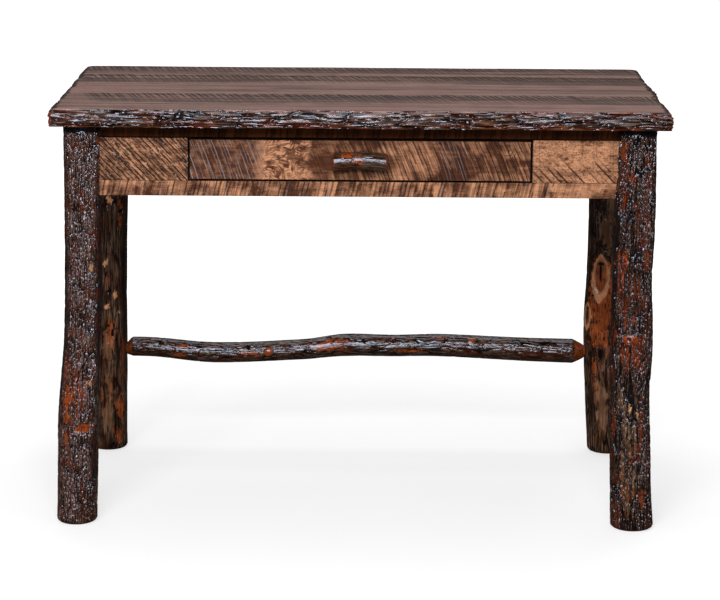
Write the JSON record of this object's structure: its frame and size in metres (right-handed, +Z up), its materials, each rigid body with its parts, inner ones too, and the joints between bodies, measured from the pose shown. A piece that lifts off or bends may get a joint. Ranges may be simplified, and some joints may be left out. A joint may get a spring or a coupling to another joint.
{
  "type": "log desk",
  "caption": "Rustic writing desk with bark-covered log legs, a plank top with bark edges, a rough-sawn apron, an inset drawer with a branch pull, and a rear log stretcher.",
  "frame": {"origin": "on the floor, under the middle of the top", "axes": "+X to the right of someone who faces the drawer, +Y from the drawer to the back, +Z up"},
  "size_m": [1.0932, 0.61, 0.762],
  "materials": {
    "log_bark": "varnished hickory bark",
    "edge_bark": "varnished plank with a bark edge",
    "top_plank": "satin varnish over saw marks",
    "sawn_maple": "stained rough-sawn board, satin",
    "plain_maple": "planed, unfinished",
    "peeled_wood": "oiled peg",
    "zinc_steel": "zinc plated"
  },
  "bodies": {
    "desk": {"corner_block_front_left": "plain_maple", "corner_block_front_right": "plain_maple", "corner_block_rear_left": "plain_maple", "corner_block_rear_right": "plain_maple", "corner_bolt_front_left": "zinc_steel", "corner_bolt_front_right": "zinc_steel", "corner_bolt_rear_left": "zinc_steel", "corner_bolt_rear_right": "zinc_steel", "corner_nut_front_left": "zinc_steel", "corner_nut_front_right": "zinc_steel", "corner_nut_rear_left": "zinc_steel", "corner_nut_rear_right": "zinc_steel", "drawer_kicker_left": "plain_maple", "drawer_kicker_left_screw_front": "zinc_steel", "drawer_kicker_left_screw_rear": "zinc_steel", "drawer_kicker_right": "plain_maple", "drawer_kicker_right_screw_front": "zinc_steel", "drawer_kicker_right_screw_rear": "zinc_steel", "drawer_runner_left": "plain_maple", "drawer_runner_right": "plain_maple", "drawer_stop_left": "plain_maple", "drawer_stop_right": "plain_maple", "front_bottom_rail": "sawn_maple", "front_left_panel": "sawn_maple", "front_right_panel": "sawn_maple", "front_top_rail": "sawn_maple", "left_apron": "sawn_maple", "leg_front_left": "log_bark", "leg_front_right": "log_bark", "leg_rear_left": "log_bark", "leg_rear_right": "log_bark", "rear_apron": "sawn_maple", "rear_stretcher": "log_bark", "right_apron": "sawn_maple", "stretcher_peg_left": "peeled_wood", "stretcher_peg_right": "peeled_wood", "top_back_slab": "edge_bark", "top_batten_left": "plain_maple", "top_batten_left_screw_front": "zinc_steel", "top_batten_left_screw_rear": "zinc_steel", "top_batten_right": "plain_maple", "top_batten_right_screw_front": "zinc_steel", "top_batten_right_screw_rear": "zinc_steel", "top_board_1": "top_plank", "top_board_2": "top_plank", "top_board_3": "top_plank", "top_front_slab": "edge_bark", "top_left_strip": "edge_bark", "top_right_strip": "edge_bark"},
    "drawer": {"drawer_front": "sawn_maple", "drawer_side_left": "plain_maple", "drawer_side_right": "plain_maple", "drawer_back": "plain_maple", "drawer_bottom": "plain_maple", "drawer_pull": "log_bark", "pull_screw_1": "zinc_steel", "pull_screw_2": "zinc_steel"}
  },
  "joints": [
    {"name": "drawer_slide", "type": "slide", "parent": "desk", "child": "drawer", "axis": [0, -1, 0], "range_m": [0, 0.3]}
  ]
}
